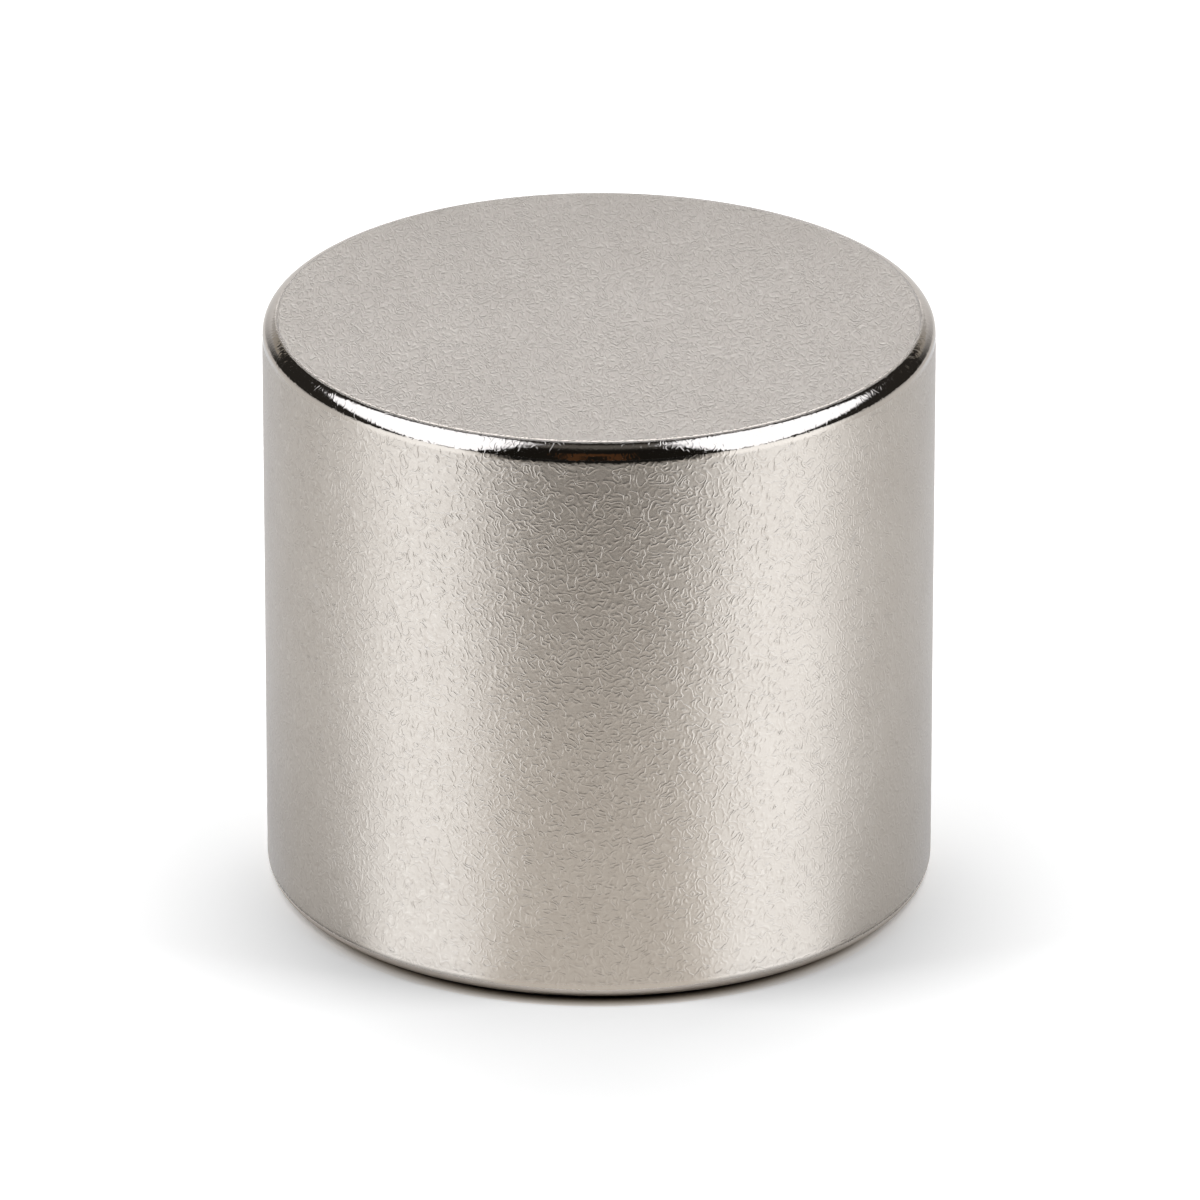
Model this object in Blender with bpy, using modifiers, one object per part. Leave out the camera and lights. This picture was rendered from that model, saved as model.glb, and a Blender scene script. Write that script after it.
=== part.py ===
"""A nickel-plated cylinder magnet, one solid piece.

Powder is pressed and sintered into a block, ground to a true cylinder and tumbled until both of its
rims are rolled over, and the plating then covers it all. So it has a straight flank, two flat pole
faces, and a quarter-round rim that runs smoothly from each face into the flank.

The origin is the middle of the bottom pole face, where the magnet stands, and +Z runs up its axis.
Lengths are in metres.

Run it with: blender --background --python part.py
"""

import math

import bpy

# Driving sizes
DIAMETER = 0.045
HEIGHT = 0.040
RIM_RADIUS = 0.0011

# Fineness of the turned form: facets round the axis, and facets down each rim
FACETS_AROUND = 144
FACETS_PER_RIM = 8

# The plating, as a linear colour
PLATE_COLOUR = (0.60, 0.55, 0.50, 1.0)
PLATE_ROUGHNESS = 0.35
PLATE_METALLIC = 1.0

# Points on the axis closer than this are one point
WELD_DISTANCE = 0.00001


def clear_scene():
    """Removes every object, so that the magnet is alone in the file."""
    for thing in list(bpy.data.objects):
        bpy.data.objects.remove(thing, do_unlink=True)


def plating():
    """The bright nickel plate that covers the whole magnet."""
    material = bpy.data.materials.new("nickel_plate")
    material.use_nodes = True
    shader = material.node_tree.nodes["Principled BSDF"]
    shader.inputs["Base Color"].default_value = PLATE_COLOUR
    shader.inputs["Roughness"].default_value = PLATE_ROUGHNESS
    shader.inputs["Metallic"].default_value = PLATE_METALLIC
    return material


def rim_arc(centre_r, centre_z, from_angle):
    """A quarter circle of the rim radius as (r, z) points, turning clockwise from from_angle."""
    turn = math.pi / 2 / FACETS_PER_RIM
    angles = [from_angle - turn * step for step in range(FACETS_PER_RIM + 1)]
    return [
        (centre_r + RIM_RADIUS * math.cos(a), centre_z + RIM_RADIUS * math.sin(a)) for a in angles
    ]


def half_section():
    """The outline as (r, z) points: out along the top face, down the flank and back to the axis.

    Each rim's arc is centred one rim radius inside the flank and the face, so it is tangent to both.
    """
    rim_centre = DIAMETER / 2 - RIM_RADIUS
    top_rim = rim_arc(rim_centre, HEIGHT - RIM_RADIUS, math.pi / 2)
    bottom_rim = rim_arc(rim_centre, RIM_RADIUS, 0.0)
    return [(0.0, HEIGHT), *top_rim, *bottom_rim, (0.0, 0.0)]


def turned_body(name, outline, material, collection):
    """Turns an (r, z) outline once round Z into a closed solid."""
    points = [(r, 0.0, z) for r, z in outline]
    edges = [(n, n + 1) for n in range(len(points) - 1)]
    mesh = bpy.data.meshes.new(name)
    mesh.from_pydata(points, edges, [])
    mesh.materials.append(material)
    body = bpy.data.objects.new(name, mesh)
    collection.objects.link(body)

    turn = body.modifiers.new("Turn", "SCREW")
    turn.axis = "Z"
    turn.steps = FACETS_AROUND
    turn.render_steps = FACETS_AROUND
    turn.use_merge_vertices = True
    turn.merge_threshold = WELD_DISTANCE
    turn.use_smooth_shade = True

    # The broad faces set the shading, so the pole faces look flat up to where the rims begin
    shading = body.modifiers.new("Flat faces lead", "WEIGHTED_NORMAL")
    shading.mode = "FACE_AREA"
    return body


def main():
    clear_scene()
    collection = bpy.data.collections.new("cylinder_magnet")
    bpy.context.scene.collection.children.link(collection)
    turned_body("magnet_body", half_section(), plating(), collection)


main()
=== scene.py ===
# %% [markdown]
# # A nickel-plated cylinder magnet on a white table
#
# The object is one solid: a sintered block, ground round, tumbled and then nickel plated. All that
# the eye has to go on is its outline and its plating, so this lesson spends its cells on three
# things: an exact turned surface, a plating with two finishes, and the studio that it mirrors.
#
# The first cell loads the solid model that all this is built round, and notes its box.

# %% Load the frame
import math

import bpy
import numpy as np
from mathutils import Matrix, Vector


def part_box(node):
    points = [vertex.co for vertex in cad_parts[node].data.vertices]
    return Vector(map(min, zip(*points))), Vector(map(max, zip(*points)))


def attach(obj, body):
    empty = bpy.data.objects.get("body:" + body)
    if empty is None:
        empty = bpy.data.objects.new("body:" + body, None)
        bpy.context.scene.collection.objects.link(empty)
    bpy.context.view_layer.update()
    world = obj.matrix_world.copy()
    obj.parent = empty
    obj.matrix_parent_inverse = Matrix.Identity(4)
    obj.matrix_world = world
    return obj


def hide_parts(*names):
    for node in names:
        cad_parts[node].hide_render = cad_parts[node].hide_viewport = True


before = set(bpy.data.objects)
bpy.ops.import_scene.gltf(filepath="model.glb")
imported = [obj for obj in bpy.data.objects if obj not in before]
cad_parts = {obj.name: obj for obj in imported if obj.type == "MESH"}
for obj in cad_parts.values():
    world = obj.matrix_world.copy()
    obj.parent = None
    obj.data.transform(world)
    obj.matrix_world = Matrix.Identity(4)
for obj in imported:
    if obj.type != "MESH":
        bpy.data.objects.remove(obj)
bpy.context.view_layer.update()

low, high = (np.array(corner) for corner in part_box("magnet_body"))
print("solid from", low.round(5).tolist(), "to", high.round(5).tolist())

# %% [markdown]
# The magnet's sizes come from the solid that is already there, so the surface can't drift from it.
# Only the rim radius is stated here: a box can't tell how far the rims are rolled over.

# %% Sizes
MM = 0.001
RIM_RADIUS = 1.1 * MM
height = float(high[2] - low[2])
radius = float(high[0] - low[0]) / 2
print(f"diameter {2 * radius / MM:.2f} mm, height {height / MM:.2f} mm, rim {RIM_RADIUS / MM:.2f} mm")

# %% [markdown]
# Colours are written as the hex values that a screen shows. Blender's shaders add up light, so one
# function turns each value to linear light.


# %% Colours
def linear(hex_colour):
    """Turns "#rrggbb" into linear RGBA: below a small step it divides, above it a power of 2.4."""
    screen = np.array([int(hex_colour[i : i + 2], 16) for i in (1, 3, 5)]) / 255
    light = np.where(screen <= 0.04045, screen / 12.92, ((screen + 0.055) / 1.055) ** 2.4)
    return (*light.tolist(), 1.0)


print("a middle grey, #808080, gives", round(linear("#808080")[0], 3), "of white's light")

# %% [markdown]
# ## The turned surface
#
# A turned body is one outline carried round an axis. It could be made with a Screw modifier, but
# the plating is close to a mirror on the rims, and a mirror shows every uneven facet. So the outline
# is worked out by formula, with its points packed where it bends, and the rings follow from it.

# %% The outline
RIM_SEGMENTS = 28
FLANK_SEGMENTS = 36
FACE_SEGMENTS = 14


def outline(radius, height, rim):
    """(r, z) down the outer side, from the top face to the bottom face, without their middle points.

    The faces and the flank are straight. Each rim is a quarter circle of radius rim, centred one rim
    radius inside both: r = centre + rim sin(a), z = centre + rim cos(a), with a from 0 to 90 degrees.
    Steps shrink towards the rims: r follows a quarter sine wave on the faces, and z half a cosine
    wave on the flank.
    """
    a = np.linspace(0, math.pi / 2, RIM_SEGMENTS + 1)
    arc = np.stack([radius - rim + rim * np.sin(a), height - rim + rim * np.cos(a)], 1)
    ease_out = np.sin(np.linspace(0, math.pi / 2, FACE_SEGMENTS + 1))[1:-1]
    face = np.stack([ease_out * (radius - rim), np.full(len(ease_out), height)], 1)
    ease_both = (1 - np.cos(np.linspace(0, math.pi, FLANK_SEGMENTS + 1)))[1:-1] / 2
    flank = np.stack([np.full(len(ease_both), radius), height - rim - ease_both * (height - 2 * rim)], 1)
    upper = np.concatenate([face, arc])
    lower = upper[::-1] * [1, -1] + [0, height]
    return np.concatenate([upper, flank, lower])


rings = outline(radius, height, RIM_RADIUS)
print(len(rings), "rings, from r", rings[0, 0].round(5), "to r", rings[:, 0].max().round(5))

# %% [markdown]
# Each point of the outline becomes a ring of vertices round Z. All rings have as many vertices, so
# the whole mesh is one grid that closes on itself, with a fan of triangles at each pole.

# %% Turn the outline
STEPS_AROUND = 512


def lathe(name, rings, steps, top, bottom):
    """Each ring is (r cos t, r sin t, z) for steps values of t, and two poles close the ends.

    Ring i, step j is vertex i * steps + j. A face joins j to j + 1 round the ring, modulo steps, so
    the seam shares its vertices.
    """
    t = np.linspace(0, 2 * math.pi, steps, endpoint=False)
    r, z = rings[:, 0, None], rings[:, 1, None]
    places = np.stack([r * np.cos(t), r * np.sin(t), np.broadcast_to(z, (len(rings), steps))], -1)
    places = np.concatenate([places.reshape(-1, 3), [[0, 0, top], [0, 0, bottom]]])
    j = np.arange(steps)
    k = (j + 1) % steps
    i = np.arange(len(rings) - 1)[:, None] * steps
    quads = np.stack([i + j, i + steps + j, i + steps + k, i + k], -1).reshape(-1, 4)
    last = (len(rings) - 1) * steps
    pole = len(rings) * steps
    caps = np.concatenate([
        np.stack([np.full(steps, pole), j, k], 1),
        np.stack([np.full(steps, pole + 1), last + k, last + j], 1),
    ])
    mesh = bpy.data.meshes.new(name)
    mesh.from_pydata(places.tolist(), [], quads.tolist() + caps.tolist())
    mesh.shade_smooth()
    thing = bpy.data.objects.new(name, mesh)
    bpy.context.scene.collection.objects.link(thing)
    return thing


magnet = lathe("plated_magnet", rings, STEPS_AROUND, height, 0.0)
triangles = sum(len(face.vertices) - 2 for face in magnet.data.polygons)
print("plated_magnet has", triangles, "triangles")

# %% [markdown]
# ## The plating
#
# Bright nickel plate is a warm white metal. It copies what is under it: the ground and tumbled
# sides have a fine worm-like grain that spreads the light, and the rims, which rub hardest in the
# tumbling barrel, come out almost as smooth as a mirror. One material makes both, from a mask that
# is worked out from the place on the outline. A picture wrapped round the magnet could do it too,
# but it would blur close up and have a seam; a pattern in space has neither.
#
# Every node is made by one small function. A Mix node has inputs and an output for each kind of
# value: by number, 4 and 5 give 1 for vectors, and 6 and 7 give 2 for colours.


# %% A node helper
def add(tree, kind, inputs=None, **settings):
    """Adds one node, sets its properties, and fills its inputs with values or other nodes' outputs."""
    node = tree.nodes.new("ShaderNode" + kind)
    for key, value in settings.items():
        setattr(node, key, value)
    for key, value in (inputs or {}).items():
        if isinstance(value, bpy.types.NodeSocket):
            tree.links.new(value, node.inputs[key])
        else:
            node.inputs[key].default_value = value
    return node


def new_material(name):
    """An empty material with its output node."""
    material = bpy.data.materials.new(name)
    material.use_nodes = True
    material.node_tree.nodes.clear()
    output = add(material.node_tree, "OutputMaterial")
    return material, material.node_tree, output


def seen_by_camera(tree):
    """1 for rays that the camera, a mirror or glass sends out, and 0 for soft light."""
    rays = add(tree, "LightPath").outputs
    seen = add(tree, "Math", {0: rays["Is Camera Ray"], 1: rays["Is Glossy Ray"]}, operation="MAXIMUM")
    seen = add(tree, "Math", {0: seen.outputs[0], 1: rays["Is Transmission Ray"]}, operation="MAXIMUM")
    return seen.outputs[0]


# %% [markdown]
# First come the masks. Near a rim, a point lies at some angle round the rim's quarter circle: 0
# degrees where the face ends, 90 where the flank begins. The arctangent of how far out and how far
# up the point lies gives that angle from Object coordinates alone, so there is nothing to unwrap.

# %% Where the rims and the faces are
# Degrees round the rim between which the mirror polish begins and ends, and the face's finish ends
POLISH_BEGINS = (-14, -6)
POLISH_ENDS = (86, 102)
FACE_ENDS = (0, 12)
# At the sides and the back the polish begins this much further round the rim than in front. The
# change starts at FRONT_Y and is complete level with the axis.
SIDE_LATER = math.radians(16)
FRONT_Y = -0.9 * radius


def rim_angle(tree, place):
    """How far round the nearest rim a point lies, in radians: under 0 on a face, over pi / 2 on the flank.

    It is the arctangent of how far out from the rim's centre, over how far up or down from it.
    """
    axes = add(tree, "SeparateXYZ", {0: place})
    flat = add(tree, "CombineXYZ", {0: axes.outputs[0], 1: axes.outputs[1]})
    r = add(tree, "VectorMath", {0: flat.outputs[0]}, operation="LENGTH").outputs["Value"]
    out = add(tree, "Math", {0: r, 1: radius - RIM_RADIUS}, operation="SUBTRACT")
    from_middle = add(tree, "Math", {0: axes.outputs[2], 1: height / 2}, operation="SUBTRACT")
    from_middle = add(tree, "Math", {0: from_middle.outputs[0]}, operation="ABSOLUTE")
    up = add(tree, "Math", {0: from_middle.outputs[0], 1: height / 2 - RIM_RADIUS}, operation="SUBTRACT")
    return add(tree, "Math", {0: out.outputs[0], 1: up.outputs[0]}, operation="ARCTAN2").outputs[0]


def finish_masks(tree, place):
    """How far a point is on a rim's polish, and how far on a flat face, each from 0 to 1.

    Each border is a smooth step of the angle round the rim. The polish is the step where it begins
    less the step where it ends, and the face is 1 less the step where its own finish ends.
    """
    angle = rim_angle(tree, place)
    y = add(tree, "SeparateXYZ", {0: place}).outputs[1]
    to_side = add(tree, "MapRange", {"Value": y, "From Min": FRONT_Y, "From Max": 0.0})
    later = add(tree, "Math", {0: to_side.outputs["Result"], 1: SIDE_LATER}, operation="MULTIPLY")
    turned = add(tree, "Math", {0: angle, 1: later.outputs[0]}, operation="SUBTRACT").outputs[0]
    steps = []
    for value, ends in ((turned, POLISH_BEGINS), (angle, POLISH_ENDS), (angle, FACE_ENDS)):
        start, end = np.radians(ends).tolist()
        inputs = {"Value": value, "From Min": start, "From Max": end}
        step = add(tree, "MapRange", inputs, interpolation_type="SMOOTHSTEP")
        steps.append(step.outputs["Result"])
    begun, ended, off_face = steps
    on_rim = add(tree, "Math", {0: begun, 1: ended}, operation="SUBTRACT", use_clamp=True)
    on_face = add(tree, "Math", {0: 1.0, 1: off_face}, operation="SUBTRACT")
    return on_rim.outputs[0], on_face.outputs[0]


print("polish from", POLISH_BEGINS[0], "to", POLISH_ENDS[1], "degrees round each rim")

# %% [markdown]
# The grain is made of thin ridges that wander along the contour lines of a smooth noise. A real
# ridge is often finer than one dot of the picture, so they are drawn about 0.4 mm apart, as coarse
# as they need to be to show. A second noise makes them strong in some patches and weak in others.

# %% Worm-like ridges
WORM_PATCH = 0.6 * MM
WORMS_PER_PATCH = 4.5
WORM_SHARPNESS = 1.5
WORM_BENDS = {"Detail": 0.4, "Roughness": 0.5, "Distortion": 0.4}
STRENGTH_PATCH = 0.375 * MM
# The noise levels between which a patch goes from its weakest share to full strength
STRENGTH_FROM = (0.3, 0.55)
WEAKEST_SHARE = 0.3


def worm_lines(tree, place):
    """Ridges (1 - |sin(pi n noise)|) to a power, along the noise's contours, of patchy strength."""
    noise = add(tree, "TexNoise", {"Vector": place, "Scale": 1 / WORM_PATCH, **WORM_BENDS})
    turns = {0: noise.outputs["Fac"], 1: math.pi * WORMS_PER_PATCH}
    phase = add(tree, "Math", turns, operation="MULTIPLY").outputs[0]
    wave = add(tree, "Math", {0: phase}, operation="SINE").outputs[0]
    size = add(tree, "Math", {0: wave}, operation="ABSOLUTE").outputs[0]
    inner = add(tree, "Math", {0: 1.0, 1: size}, operation="SUBTRACT").outputs[0]
    ridge = add(tree, "Math", {0: inner, 1: WORM_SHARPNESS}, operation="POWER").outputs[0]
    patches = add(tree, "TexNoise", {"Vector": place, "Scale": 1 / STRENGTH_PATCH, "Detail": 0.0})
    weak, strong = STRENGTH_FROM
    strength = add(tree, "MapRange", {
        "Value": patches.outputs["Fac"], "From Min": weak, "From Max": strong,
        "To Min": WEAKEST_SHARE, "To Max": 1.0,
    }).outputs["Result"]
    return add(tree, "Math", {0: ridge, 1: strength}, operation="MULTIPLY").outputs[0]


print(f"ridges in patches of {WORM_PATCH / MM:.2f} mm, {WORMS_PER_PATCH} to a patch")

# %% [markdown]
# Bump makes the ridges catch the light where what they mirror changes, as on the flank. The flat
# faces mirror one even wall, which hides a bump, so the ridges also get a painted light side and a
# painted dark side in the colour: the ridge pattern minus the same pattern a little further on.
# Fine specks between the ridges and broad faint clouds keep the plating from looking printed.

# %% Relief and shade
# On the faces the pattern is this many times finer, and drawn out along Y this many times
FACE_FINER = 1.35
FACE_STRETCH = 2.2
# How far the copy of the ridges for the painted relief shade is shifted
PAINTED_RELIEF_SHIFT = (0.07 * MM, 0.07 * MM, 0.07 * MM)
SPECK_SIZE = 0.20 * MM
SPECK_SHARE = 0.5
CLOUD_SIZE = 5 * MM
CLOUD_FORM = {"Detail": 3.0, "Roughness": 0.6}
# How much of the way from dull to bright the clouds take up, and the painted light and dark sides
# of the ridges on the faces and on the flank
CLOUD_TONE = 0.2
FACE_PAINTED_RELIEF = 0.52
FLANK_PAINTED_RELIEF = 0.42
# What is left of the grain on the polish, and of its height on the faces
RIM_GRAIN_SHARE = 0.2
FACE_GRAIN_SHARE = 0.7


def plating_pattern(tree, place, on_rim, on_face):
    """The grain's height and the plating's shade.

    Height is the ridges plus a share of the specks, lower on the polish and on the faces. Shade is
    the cloud plus painted relief shade from the two ridge patterns, fainter on the polish and flank.
    The faces were ground along Y, so the pattern is drawn out that way.
    """
    ground = (FACE_FINER, FACE_FINER / FACE_STRETCH, FACE_FINER)
    ground = add(tree, "VectorMath", {0: place, 1: ground}, operation="MULTIPLY").outputs[0]
    place = add(tree, "Mix", {0: on_face, 4: place, 5: ground}, data_type="VECTOR").outputs[1]
    ridge = worm_lines(tree, place)
    beside = add(tree, "VectorMath", {0: place, 1: PAINTED_RELIEF_SHIFT}, operation="ADD").outputs[0]
    # Painted relief shade: each ridge less its shifted copy, a light side and a dark side in the colour
    sides = add(tree, "Math", {0: ridge, 1: worm_lines(tree, beside)}, operation="SUBTRACT").outputs[0]
    specks = add(tree, "TexNoise", {"Vector": place, "Scale": 1 / SPECK_SIZE, "Detail": 1.0})
    specks = add(tree, "Math", {0: specks.outputs["Fac"], 1: 0.5}, operation="SUBTRACT").outputs[0]
    grain = add(tree, "Math", {0: specks, 1: SPECK_SHARE, 2: ridge}, operation="MULTIPLY_ADD")
    share = add(tree, "MapRange", {"Value": on_rim, "To Min": 1.0, "To Max": RIM_GRAIN_SHARE})
    share = share.outputs["Result"]
    face_share = add(tree, "MapRange", {"Value": on_face, "To Min": 1.0, "To Max": FACE_GRAIN_SHARE})
    relief = add(tree, "Math", {0: grain.outputs[0], 1: share}, operation="MULTIPLY").outputs[0]
    relief = add(tree, "Math", {0: relief, 1: face_share.outputs["Result"]}, operation="MULTIPLY")

    cloud = add(tree, "TexNoise", {"Vector": place, "Scale": 1 / CLOUD_SIZE, **CLOUD_FORM})
    cloud = add(tree, "MapRange", {
        "Value": cloud.outputs["Fac"], "To Min": 0.5 - CLOUD_TONE, "To Max": 0.5 + CLOUD_TONE,
    }).outputs["Result"]
    # How strong the painted relief shade is, on the flank and on the faces
    painted_relief_share = add(tree, "MapRange", {"Value": on_face, "To Min": FLANK_PAINTED_RELIEF, "To Max": FACE_PAINTED_RELIEF})
    painted_relief_share = add(tree, "Math", {0: painted_relief_share.outputs["Result"], 1: share}, operation="MULTIPLY")
    shade = {0: sides, 1: painted_relief_share.outputs[0], 2: cloud}
    shade = add(tree, "Math", shade, operation="MULTIPLY_ADD", use_clamp=True)
    return relief.outputs[0], shade.outputs[0]


print(f"specks of {SPECK_SIZE / MM:.2f} mm, clouds of {CLOUD_SIZE / MM:.0f} mm")

# %% [markdown]
# The finish itself is bright nickel electroplate, which copies the surface below it. On the ground
# and tumbled sides it is satin, so reflections run into each other. On the polished rims it is
# nearly a mirror. Its colour is a warm white, and a little lighter on the faces, where grinding left
# the block flatter. Colour and roughness are blended by the two masks, so no edge shows between them.

# %% Nickel plate
NICKEL = linear("#dfd9d3")
NICKEL_DULL = linear("#c1b9b2")
FACE_NICKEL = linear("#f3ede7")
FACE_DULL = linear("#d2cac3")
SATIN_ROUGHNESS = 0.38
FACE_ROUGHNESS = 0.32
RIM_ROUGHNESS = 0.07
GRAIN_DEPTH = 0.0175 * MM


def nickel_plate():
    """Metal: colour from dull to bright by the shade, roughness by the masks, bump by the height."""
    material, tree, output = new_material("nickel_plate_on_tumbled_block")
    place = add(tree, "TexCoord").outputs["Object"]
    on_rim, on_face = finish_masks(tree, place)
    relief, shade = plating_pattern(tree, place, on_rim, on_face)
    bump = add(tree, "Bump", {"Height": relief, "Strength": 1.0, "Distance": GRAIN_DEPTH})
    dull = add(tree, "Mix", {0: on_face, 6: NICKEL_DULL, 7: FACE_DULL}, data_type="RGBA").outputs[2]
    bright = add(tree, "Mix", {0: on_face, 6: NICKEL, 7: FACE_NICKEL}, data_type="RGBA").outputs[2]
    # The colour follows the clouds' tone and the ridges' painted relief shade
    tone = add(tree, "Mix", {0: shade, 6: dull, 7: bright}, data_type="RGBA").outputs[2]
    satin = add(tree, "MapRange", {"Value": on_face, "To Min": SATIN_ROUGHNESS, "To Max": FACE_ROUGHNESS})
    roughness = {"Value": on_rim, "To Min": satin.outputs["Result"], "To Max": RIM_ROUGHNESS}
    roughness = add(tree, "MapRange", roughness).outputs["Result"]
    metal = add(
        tree, "BsdfPrincipled",
        {"Base Color": tone, "Metallic": 1.0, "Roughness": roughness, "Normal": bump.outputs[0]},
    )
    tree.links.new(metal.outputs[0], output.inputs["Surface"])
    print(material.name, "has", len(tree.nodes), "nodes")
    return material


magnet.data.materials.append(nickel_plate())
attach(magnet, "root")
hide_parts("magnet_body")

# %% [markdown]
# ## The table
#
# The rest of the scene is stage. Apart from the lamps, each part of it is one thin surface: a
# function says where the point for two parameters lies, and a grid of points becomes a mesh. The
# table could be a Plane, but the curved cloths further on could not, and one helper serves them all.


# %% A surface on a grid
def grid_surface(name, across, along, place):
    """A surface from place(u, v), worked out for every u in across and v in along.

    Point i, j is vertex i * columns + j, and each face joins it to the next row and column.
    """
    u, v = np.meshgrid(across, along, indexing="ij")
    places = np.stack(np.broadcast_arrays(*place(u, v)), -1).reshape(-1, 3)
    rows, columns = len(across), len(along)
    corner = (np.arange(rows - 1)[:, None] * columns + np.arange(columns - 1)).ravel()
    faces = np.stack([corner, corner + columns, corner + columns + 1, corner + 1], 1)
    mesh = bpy.data.meshes.new(name)
    mesh.from_pydata(places.tolist(), [], faces.tolist())
    thing = bpy.data.objects.new(name, mesh)
    bpy.context.scene.collection.objects.link(thing)
    return thing


# %% [markdown]
# The magnet stands on a wide sheet of white paper. It is a plain diffuse surface, so the lamps
# light it and the magnet's shadow falls on it. The paper in the photograph was exposed to pure
# white. More light on everything would do that, but it would also wash out the metal, so only the
# rays that look at the paper, from the camera or by way of the metal, see it a little brighter.
#
# Below the rounded rim is a gap that little light gets into. Besides the lamps' own shadow there,
# shade is painted into the paper's colour, as deep as the sky is hidden close by. The painted shade
# is made deepest and brownest straight in front, which the long lamp behind doesn't reach either.

# %% White paper
PAPER = linear("#f4f4f4")
TABLE_HALF = 3.0
SEEN_GAIN = 1.38
# How far the gap's painted shade looks for what hides the sky, and how deep it is painted
GAP_REACH = 1.2 * MM
GAP_POWER = 2.3
GAP_MIRRORED = 0.45
GAP_FRONT = 4.0
# The brown tint of the gap's painted shade
GAP_PAINTED_SHADE_TINT = linear("#d8c4ac")
GAP_SAMPLES = 16


def paper_material():
    """Matte white: colour = tint x gain of the ray x (open share of the sky) to a power.

    That power is GAP_POWER times (-y / r) to the power GAP_FRONT, so it is full straight in front
    and nothing at the sides and behind. Rays that come by way of the metal get one even power.
    """
    material, tree, output = new_material("matte_white_paper")
    gain = add(tree, "MapRange", {"Value": seen_by_camera(tree), "To Min": 1.0, "To Max": SEEN_GAIN})
    axes = add(tree, "SeparateXYZ", {0: add(tree, "TexCoord").outputs["Object"]}).outputs
    flat = add(tree, "CombineXYZ", {0: axes[0], 1: axes[1]})
    r = add(tree, "VectorMath", {0: flat.outputs[0]}, operation="LENGTH").outputs["Value"]
    front = add(tree, "Math", {0: axes[1], 1: r}, operation="DIVIDE").outputs[0]
    front = add(tree, "Math", {0: front, 1: -1.0}, operation="MULTIPLY", use_clamp=True).outputs[0]
    front = add(tree, "Math", {0: front, 1: GAP_FRONT}, operation="POWER").outputs[0]
    power = add(tree, "Math", {0: front, 1: GAP_POWER}, operation="MULTIPLY").outputs[0]
    mirrored = add(tree, "LightPath").outputs["Is Glossy Ray"]
    power = add(tree, "MapRange", {"Value": mirrored, "To Min": power, "To Max": GAP_MIRRORED})
    power = power.outputs["Result"]
    # Painted shade: the occlusion darkens and browns the paper's colour, deepest straight in front
    gap = add(tree, "AmbientOcclusion", {"Distance": GAP_REACH}, samples=GAP_SAMPLES)
    open_share = gap.outputs["AO"]
    open_share = add(tree, "Math", {0: open_share, 1: power}, operation="POWER").outputs[0]
    share = add(tree, "Math", {0: open_share, 1: gain.outputs["Result"]}, operation="MULTIPLY").outputs[0]
    tint = add(tree, "Mix", {0: open_share, 6: GAP_PAINTED_SHADE_TINT, 7: PAPER}, data_type="RGBA").outputs[2]
    colour = add(tree, "VectorMath", {0: tint, "Scale": share}, operation="SCALE").outputs[0]
    paper = add(tree, "BsdfDiffuse", {"Color": colour})
    tree.links.new(paper.outputs[0], output.inputs["Surface"])
    return material


ends = np.array([-TABLE_HALF, TABLE_HALF])
table = grid_surface("table_paper", ends, ends, lambda u, v: (u, v, 0 * u))
table.data.materials.append(paper_material())
print("table of", 2 * TABLE_HALF, "m each way")

# %% [markdown]
# ## What the metal mirrors
#
# A metal has no look of its own: it shows the room. The rims mirror two white sheets, curved over
# the table like the halves of a tent, with a slot between them for the camera. Round them the
# room is dark, and it opens to a pale wall behind the magnet, brightest in a strip that the top
# face mirrors. Only reflections see all this: the camera and the soft light pass through. No lamp
# lights any of it: each surface is a grid that glows with painted light, worked out at every vertex
# and kept in an attribute.

# %% Surfaces that only reflections see
def smooth_step(value, start, end):
    """0 up to start, 1 from end, and 3t^2 - 2t^3 between them."""
    t = np.clip((value - start) / (end - start), 0, 1)
    return t * t * (3 - 2 * t)


def blend(below, above, share):
    """Each value below, turned into the value above by its share."""
    return below + (above - below) * share


def reflected_material():
    """Plain light from the glow attribute, for mirrored rays that haven't met the paper before."""
    material, tree, output = new_material("glowing_cloth_and_card")
    glow = add(tree, "Attribute", attribute_name="glow").outputs["Color"]
    met_paper = add(tree, "LightPath").outputs["Diffuse Depth"]
    strength = add(tree, "Math", {0: 1.0, 1: met_paper}, operation="SUBTRACT", use_clamp=True)
    # Painted light: the surface glows at its stored level, and no lamp lights it
    light = add(tree, "Emission", {"Color": glow, "Strength": strength.outputs[0]})
    tree.links.new(light.outputs[0], output.inputs["Surface"])
    material.cycles.emission_sampling = "NONE"
    return material


def reflected_surface(name, across, along, place, glow, material):
    """A grid whose glow(u, v) gives red, green and blue light, hidden from all but reflections."""
    thing = grid_surface(name, across, along, place)
    light = glow(*np.meshgrid(across, along, indexing="ij"))
    light = np.concatenate([light, np.ones((*light.shape[:2], 1))], -1)
    thing.data.attributes.new("glow", "FLOAT_COLOR", "POINT").data.foreach_set("color", light.ravel())
    thing.data.materials.append(material)
    for rays in ("camera", "diffuse", "shadow", "transmission", "volume_scatter"):
        setattr(thing, "visible_" + rays, False)
    glow_range = [round(float(limit), 3) for limit in (light[..., :3].min(), light[..., :3].max())]
    print(name, "glows from", glow_range[0], "to", glow_range[1])
    return thing


def dome_place(radius, azimuth, elevation):
    """A point of a dome, in degrees. Azimuth 0 is in front, at the camera, and grows to the right."""
    a, e = np.radians(azimuth), np.radians(elevation)
    out = radius * np.cos(e)
    return out * np.sin(a), -out * np.cos(a), radius * np.sin(e)


reflected = reflected_material()
print(reflected.name, "is the one material of all that only reflections see")

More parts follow.
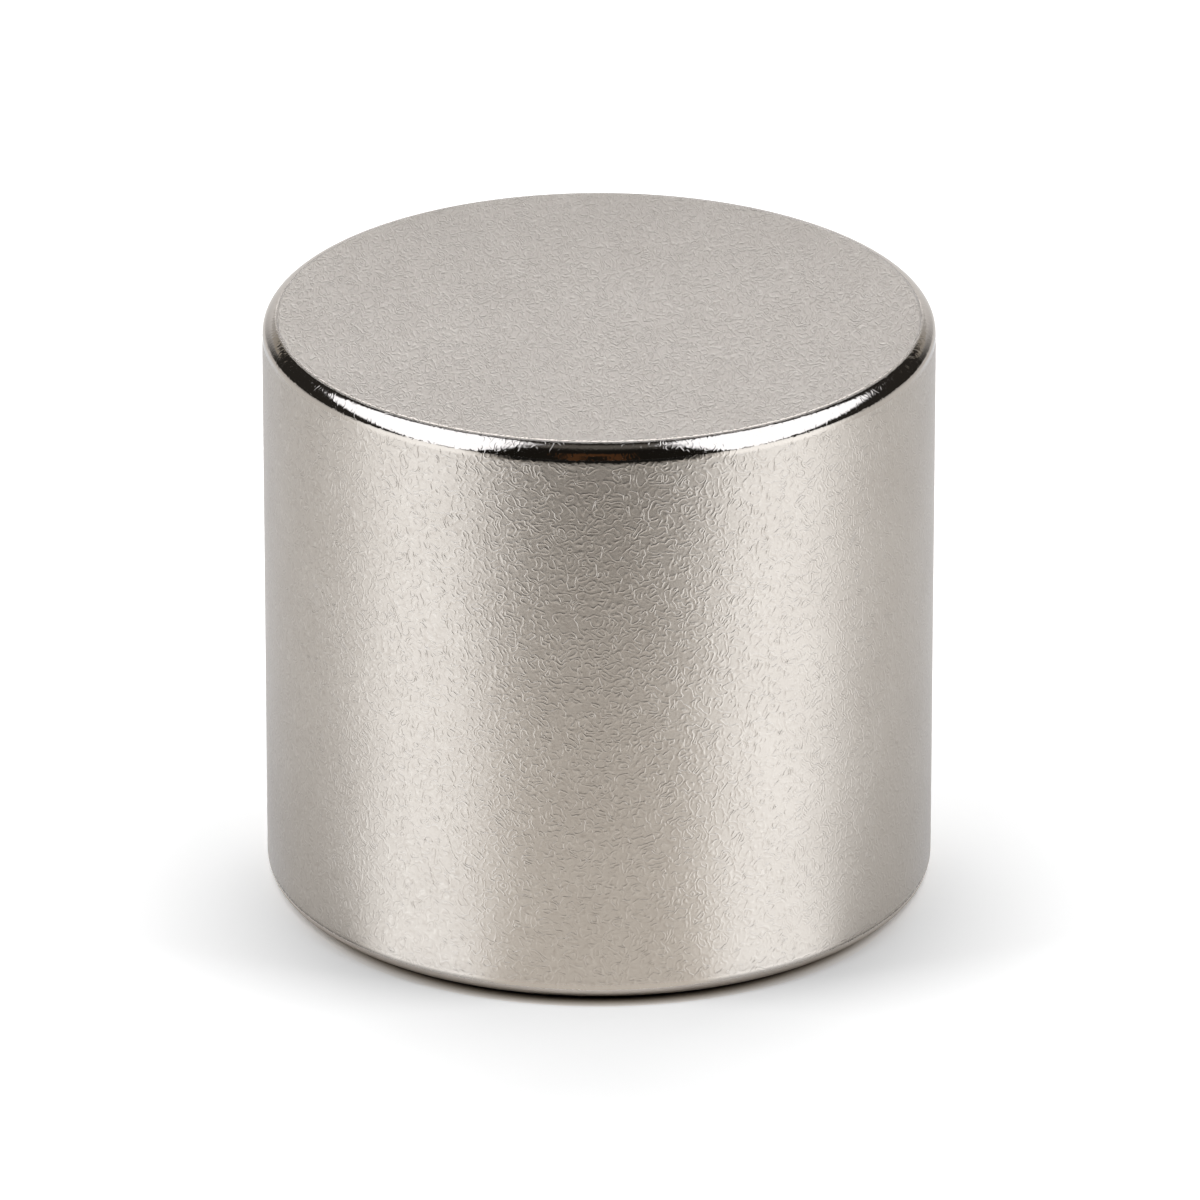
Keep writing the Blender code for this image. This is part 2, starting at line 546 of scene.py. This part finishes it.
# %% [markdown]
# The room is a dome, and its glow is a function of two angles. First comes the pale wall behind,
# which the top face mirrors. It starts further round the higher one looks. It is dim along that
# border, and brightest in a strip opposite the camera. Levels of light are given with 1 as white.
#
# Most pairs of numbers, here and below, are where a smooth step begins and ends.

# %% The wall behind
WALL_HIGH = 1.62
WALL_LOW = 0.55
WALL_DIM = np.array(linear("#a09a90")[:3])
# The azimuth that the wall starts at, for some elevations
WALL_START = ((126, -1), (133, 9), (143, 22), (157, 26), (169, 28), (181, 29.5))
WALL_BORDER = 3
WALL_FADE = (4, 32)
WALL_RISE = (10, 21)
WALL_STRIP = (8, 14)


def wall_glow(azimuth, elevation):
    """How far each direction is on the wall, from 0 to 1, and the light that the wall gives there.

    The light steps from low to high across the strip, and from dim to that past the border.
    """
    start, rise = np.array(WALL_START).T
    past_border = np.abs(azimuth) - np.interp(elevation, rise, start)
    strip = smooth_step(elevation, *WALL_RISE) * (1 - smooth_step(180 - np.abs(azimuth), *WALL_STRIP))
    light = blend(WALL_LOW, WALL_HIGH, strip[..., None])
    light = blend(WALL_DIM, light, smooth_step(past_border, *WALL_FADE)[..., None])
    return smooth_step(past_border, 0, WALL_BORDER)[..., None], light


print("the wall starts", WALL_START[0][0], "degrees round and ends", WALL_START[-1][1], "degrees up")

# %% [markdown]
# The rest of the room is dark cloth, with a grey patch overhead. In front it is darker still, with
# an arch of brown board round a dark opening. The front rim mirrors them one below the other: the
# wall, the grey patch, the dark cloth, and last the arch. Angles are in degrees.

# %% The dark room
ROOM_RADIUS = 1.6
ROOM_LOWEST = -1
ROOM_GRID = (289, 92)
DARK_CLOTH = np.array(linear("#2d2b28")[:3])
FRONT_CLOTH = np.array(linear("#1c1a17")[:3])
GREY_CEILING = np.array(linear("#64615d")[:3])
BROWN_BOARD = np.array(linear("#523723")[:3])
FRONT_SIDES = (32, 50)
FRONT_TOP = (60, 78)
# The grey patch's middle, as azimuth and elevation
CEILING_MIDDLE = (180, 84)
CEILING_REACH = (7, 24)
BOARD_MIDDLE = -1.5
BOARD_SIDES = (8, 12)
BOARD_TOP = (40, 49)
DOOR_SIDES = (2, 6)
DOOR_TOP = (26, 37)


def room_glow(azimuth, elevation):
    """Dark cloth, blended in turn into the front's cloth, the ceiling patch, the arch and the wall.

    The cloth in front, the board and its opening are each one smooth step in azimuth times one in
    elevation. The ceiling patch is a smooth step of the angle from its middle.
    """
    side = np.abs(azimuth - BOARD_MIDDLE)
    front, board, door = (
        (1 - smooth_step(side, *sides)) * (1 - smooth_step(elevation, *top))
        for sides, top in ((FRONT_SIDES, FRONT_TOP), (BOARD_SIDES, BOARD_TOP), (DOOR_SIDES, DOOR_TOP))
    )
    here = np.stack(dome_place(1, azimuth, elevation), -1)
    from_ceiling = np.degrees(np.arccos(np.clip(here @ np.array(dome_place(1, *CEILING_MIDDLE)), -1, 1)))
    ceiling = 1 - smooth_step(from_ceiling, *CEILING_REACH)
    light = blend(DARK_CLOTH, FRONT_CLOTH, front[..., None])
    light = blend(light, GREY_CEILING, ceiling[..., None])
    light = blend(light, BROWN_BOARD, board[..., None] * (1 - door[..., None]))
    wall, wall_light = wall_glow(azimuth, elevation)
    return blend(light, wall_light, wall)


def room_place(azimuth, elevation):
    """The dome's point in each direction."""
    return dome_place(ROOM_RADIUS, azimuth, elevation)


reflected_surface(
    "dark_room", np.linspace(-180, 180, ROOM_GRID[0]), np.linspace(ROOM_LOWEST, 90, ROOM_GRID[1]),
    room_place, room_glow, reflected,
)

# %% [markdown]
# Each half of the tent lies on a dome, between two edges: the inner one, along the camera's slot and
# the gap overhead, and the outer one. Arcs join them, from each point to the one with the same share
# of its edge. Both edges run through a few listed directions.

# %% The two halves of the tent
TENT_RADIUS = 1.3
TENT_LIGHT = np.array([1.68, 1.75, 1.86])
# Azimuth and elevation, from the table in front, over the top, to the back
INNER_EDGE = np.array([
    (43, 3), (39, 16), (35.5, 32), (36, 50), (42, 68),
    (80, 79), (135, 80), (160, 71), (168, 61), (169, 52),
])
OUTER_EDGE = np.array([
    (47, 2), (58, 1), (69, 5), (78, 11), (86, 18.5),
    (97, 25.5), (114, 33), (134, 40.5), (153, 47), (166, 51.5),
])
EDGE_FADE = 0.1
TENT_GRID = (49, 25)


def along_edge(edge, share):
    """The edge's direction at a share of its points, joined by straight steps between unit vectors."""
    corners = np.stack(dome_place(1, edge[:, 0], edge[:, 1]), -1)
    steps = np.linspace(0, 1, len(edge))
    way = np.stack([np.interp(share, steps, corners[:, axis]) for axis in range(3)], -1)
    return way / np.linalg.norm(way, axis=-1, keepdims=True)


def tent_place(side):
    """The tent half on one side (1 right, -1 left): inner and outer edge, blended and set on the dome."""

    def place(share, across):
        way = blend(along_edge(INNER_EDGE, share), along_edge(OUTER_EDGE, share), across[..., None])
        way = TENT_RADIUS * way / np.linalg.norm(way, axis=-1, keepdims=True)
        return side * way[..., 0], way[..., 1], way[..., 2]

    return place


def tent_glow(share, across):
    """White cloth that fades to dark along its two long edges, where the light behind it ends."""
    # The fade to dark along the edges is a painted level of the glow; no light stands behind the cloth
    inside = smooth_step(across, 0, EDGE_FADE) * (1 - smooth_step(across, 1 - EDGE_FADE, 1))
    return blend(DARK_CLOTH, TENT_LIGHT, inside[..., None])


tent_shares = [np.linspace(0, 1, count) for count in TENT_GRID]
for name, side in (("tent_right", 1), ("tent_left", -1)):
    reflected_surface(name, *tent_shares, tent_place(side), tent_glow, reflected)

# %% [markdown]
# The camera looks down, so the upright flank mirrors the table round the magnet. Bare paper there
# would make the flank one flat white. A photographer lays cards on the table, just out of the
# picture. Here they are one sheet, laid out by what mirrors it: one parameter is the way that a line
# down the flank faces, the other how far from the foot that line's reflection meets the table.

# %% Where the flank's reflections meet the table
CARD_LIFT = 0.4 * MM
CARD_START = radius + 0.3 * MM
CARD_REACH = 1.3
CARD_FIRST_STEP = 0.2 * MM
CARD_SIDES = 84
CARD_GRID = (169, 72)


def card_place(turn, reach):
    """Where the table is met by what the flank mirrors.

    A line of sight from straight in front, met by a flank that faces turn, leaves it at twice that
    turn. So the point is the foot of the flank, plus reach along twice the turn.
    """
    x = CARD_START * np.sin(turn) + reach * np.sin(2 * turn)
    y = -CARD_START * np.cos(turn) - reach * np.cos(2 * turn)
    return x, y, CARD_LIFT + 0 * turn


card_turns = np.radians(np.linspace(-CARD_SIDES, CARD_SIDES, CARD_GRID[0]))
card_reaches = np.concatenate([[0], np.geomspace(CARD_FIRST_STEP, CARD_REACH, CARD_GRID[1])])
print("cards reach", CARD_REACH, "m, in", len(card_turns), "by", len(card_reaches), "points")

# %% [markdown]
# The card in front is pale by the foot and black further out, which gives the flank its dark middle.
# A bright one on each side of it gives the two bands. Grey ones follow, and then bare paper. Each
# has a touch of a warm or a cool tint, because even a white metal shows the tints round it.

# %% Cards on the table
# Degrees of azimuth over which one card gives way to the next
FRONT_HALF = (29, 49)
BRIGHT_END = (76, 100)
GREY_END = (128, 152)
# The card in front: how far from the foot it turns from pale to black, and both levels
BLACK_FROM = (38 * MM, 124 * MM)
FRONT_NEAR = 0.71
FRONT_FAR = 0.012
# The bright cards, painted a little lighter on the right over these degrees of turn, and the grey ones
BRIGHT_LEVEL = 1.42
RIGHT_GAIN = 1.05
RIGHT_FROM = (0, 20)
GREY_LEVEL = 0.69
# The bare paper near and far, and the metres from the foot over which it changes
PAPER_LEVEL = 0.78
PAPER_FAR = 0.9
PAPER_FROM = (0.08, 0.25)
# Painted shade in the cards' glow: the magnet's own shadow, and a deeper one for the gap under its rim
SHADE_BRIGHT = 0.10
SHADE_GREY = 0.22
SHADE_REACH = (0.0, 50 * MM)
FOOT_SHADE = 0.55
FOOT_REACH = (0.0, 1.3 * MM)
# How far out the bright and grey cards lose light, and what they keep
FAR_FROM = (0.12, 0.9)
FAR_LEVEL = 0.5
WARM = np.array([1.045, 1.0, 0.925])
CREAM = np.array([1.015, 1.0, 0.965])
WHITE = np.array([0.985, 1.0, 1.0])
COOL = np.array([0.98, 1.0, 1.03])


def card_glow(turn, reach):
    """Level times tint: each card's own, blended by smooth steps into the next one's.

    Steps in azimuth, which is twice the turn, part the cards. Steps in reach paint them darker far
    away and paint shade near the foot.
    """
    azimuth = np.degrees(np.abs(2 * turn))
    front = 1 - smooth_step(azimuth, *FRONT_HALF)
    grey = smooth_step(azimuth, *BRIGHT_END)
    paper = smooth_step(azimuth, *GREY_END)
    black = smooth_step(reach, *BLACK_FROM)
    level = blend(BRIGHT_LEVEL, GREY_LEVEL, grey)
    level = level * blend(1, FAR_LEVEL, smooth_step(reach, *FAR_FROM))
    level = blend(level, blend(PAPER_LEVEL, PAPER_FAR, smooth_step(reach, *PAPER_FROM)), paper)
    # Painted shadow of the magnet on the cards
    level = level * (1 - blend(SHADE_BRIGHT, SHADE_GREY, grey) * (1 - smooth_step(reach, *SHADE_REACH)))
    # Painted shade by the foot, for the gap under the rim
    level = level * (1 - FOOT_SHADE * (1 - smooth_step(reach, *FOOT_REACH)))
    level = blend(level, blend(FRONT_NEAR, FRONT_FAR, black), front)
    # Painted light: the bright cards a little lighter on the right
    level = level * blend(1, RIGHT_GAIN, smooth_step(np.degrees(turn), *RIGHT_FROM) * (1 - grey))
    tint = blend(blend(WHITE, CREAM, grey[..., None]), COOL, paper[..., None])
    tint = blend(tint, WARM, front[..., None])
    return level[..., None] * tint


reflected_surface("table_cards", card_turns, card_reaches, card_place, card_glow, reflected)

# %% [markdown]
# The top face mirrors what stands behind. In the photograph its far side is a little darker than
# its near side, and a low grey card close behind does that: from the far side it covers more of the
# wall. The sides of the rim mirror the same card. They darken towards the front, over a pale lower
# edge, so its ends are dark above and pale below.

# %% The card behind
# Where it stands, half its width, its top and its lower edge, in metres
BEHIND_Y = 0.11
BEHIND_HALF = 0.22
BEHIND_TOP = 0.076
BEHIND_LIFT = 1 * MM
BEHIND_GRID = (89, 31)
BEHIND_LEVEL = np.array([0.81, 0.80, 0.79])
BEHIND_FADE = (35 * MM, 140 * MM)
END_PAPER = np.array([0.62, 0.60, 0.58])
END_DARK_FROM = (19 * MM, 30 * MM)


def behind_place(x, z):
    """An upright sheet across the table."""
    return x, BEHIND_Y + 0 * x, z


def behind_glow(x, z):
    """Even grey in the middle, fading on each side to dark cloth above and dim paper below."""
    end = blend(END_PAPER, DARK_CLOTH, smooth_step(z, *END_DARK_FROM)[..., None])
    return blend(BEHIND_LEVEL, end, smooth_step(np.abs(x), *BEHIND_FADE)[..., None])


reflected_surface(
    "card_behind", np.linspace(-BEHIND_HALF, BEHIND_HALF, BEHIND_GRID[0]),
    np.linspace(BEHIND_LIFT, BEHIND_TOP, BEHIND_GRID[1]), behind_place, behind_glow, reflected,
)

# %% [markdown]
# ## Light
#
# What the metal mirrors is in place, so the lamps have one task left: the paper and the shadow on
# it. A long low soft box behind throws the faint wide shadow forward, one on each side throws the
# soft shadow to the other side, and the rest comes from high up, where it leaves only a short one.
# Neither the camera nor the metal sees the lamps themselves.

# %% Soft boxes
LAMP_DISTANCE = 0.9
# Azimuth and elevation, width and height, and the share of full white that each gives to the paper
SOFT_BOXES = {
    "soft_box_behind": ((180, 9), (1.9, 0.2), 0.45),
    "soft_box_high": ((180, 64), (0.4, 0.3), 0.10),
    "soft_box_left": ((-82, 26), (0.4, 0.4), 0.225),
    "soft_box_right": ((82, 26), (0.4, 0.4), 0.215),
    "soft_box_overhead_left": ((-85, 72), (0.5, 0.4), 0.18),
    "soft_box_overhead_right": ((85, 72), (0.5, 0.4), 0.17),
}


def soft_box(name, toward, sides, share):
    """A rectangle of light that faces the magnet's foot.

    A lamp of power P at distance d lights a level sheet to P sin(elevation) / (pi d)^2 of full
    white, and that is solved for P.
    """
    light = bpy.data.lights.new(name, "AREA")
    light.shape = "RECTANGLE"
    light.size, light.size_y = sides
    light.energy = share * (math.pi * LAMP_DISTANCE) ** 2 / math.sin(math.radians(toward[1]))
    away = Vector(dome_place(1, *toward))
    lamp = bpy.data.objects.new(name, light)
    lamp.location = LAMP_DISTANCE * away
    lamp.rotation_euler = away.to_track_quat("Z", "Y").to_euler()
    lamp.visible_camera = False
    lamp.visible_glossy = False
    bpy.context.scene.collection.objects.link(lamp)
    return lamp


for name, (toward, sides, share) in SOFT_BOXES.items():
    lamp = soft_box(name, toward, sides, share)
    print(name, "at", [round(v, 3) for v in lamp.location], "energy", round(lamp.data.energy, 2))

# %% [markdown]
# Far away the paper has to run into a white distance, so the world is white wherever the camera
# sees it. As light on the scene it stays almost off, or it would fill the shadow. The Standard view
# shows each colour as it is written.

# %% The world
WORLD_FILL = 0.02


def white_world():
    """White to the camera and to reflections, and a faint even light for everything else."""
    world = bpy.data.worlds.new("white_surround")
    world.use_nodes = True
    tree = world.node_tree
    tree.nodes.clear()
    seen = seen_by_camera(tree)
    strength = add(tree, "MapRange", {"Value": seen, "To Min": WORLD_FILL, "To Max": 1.0})
    back = add(tree, "Background", {"Color": linear("#ffffff"), "Strength": strength.outputs["Result"]})
    output = add(tree, "OutputWorld")
    tree.links.new(back.outputs[0], output.inputs["Surface"])
    return world


bpy.context.scene.world = white_world()
bpy.context.scene.view_settings.view_transform = "Standard"
print(bpy.context.scene.world.name, "fills shadows with", WORLD_FILL, "of white")

# %% [markdown]
# ## The camera
#
# The photograph was taken from about 24 degrees above the table with a very long lens, so the sides
# of the magnet stay almost parallel. The place and the lens come from fitting an outline of these
# sizes to the one in the photograph.

# %% Camera
# The picture's side and the focal length, both in its own pixels
IMAGE_SIDE = 1200
FOCAL_PIXELS = 13736
SENSOR = 36.0
CLIP = (0.01, 20.0)
CAMERA_TILT = math.radians(23.91)
CAMERA_DISTANCE = 0.9248
AIM_RIGHT = 0.06 * MM
AIM_BELOW = 0.72 * MM


def add_camera():
    """A camera that looks at the middle of the magnet, moved a little across its own view."""
    lens = bpy.data.cameras.new("camera")
    lens.sensor_width = SENSOR
    lens.lens = FOCAL_PIXELS / IMAGE_SIDE * SENSOR
    lens.clip_start, lens.clip_end = CLIP
    camera = bpy.data.objects.new("camera", lens)
    forward = Vector((0, math.cos(CAMERA_TILT), -math.sin(CAMERA_TILT)))
    up = Vector((0, math.sin(CAMERA_TILT), math.cos(CAMERA_TILT)))
    middle = Vector((AIM_RIGHT, 0, height / 2)) - up * AIM_BELOW
    camera.location = middle - forward * CAMERA_DISTANCE
    camera.rotation_euler = (math.pi / 2 - CAMERA_TILT, 0, 0)
    bpy.context.scene.collection.objects.link(camera)
    bpy.context.scene.camera = camera
    return camera


camera = add_camera()
print("lens", round(camera.data.lens, 1), "mm at", [round(v, 4) for v in camera.location])
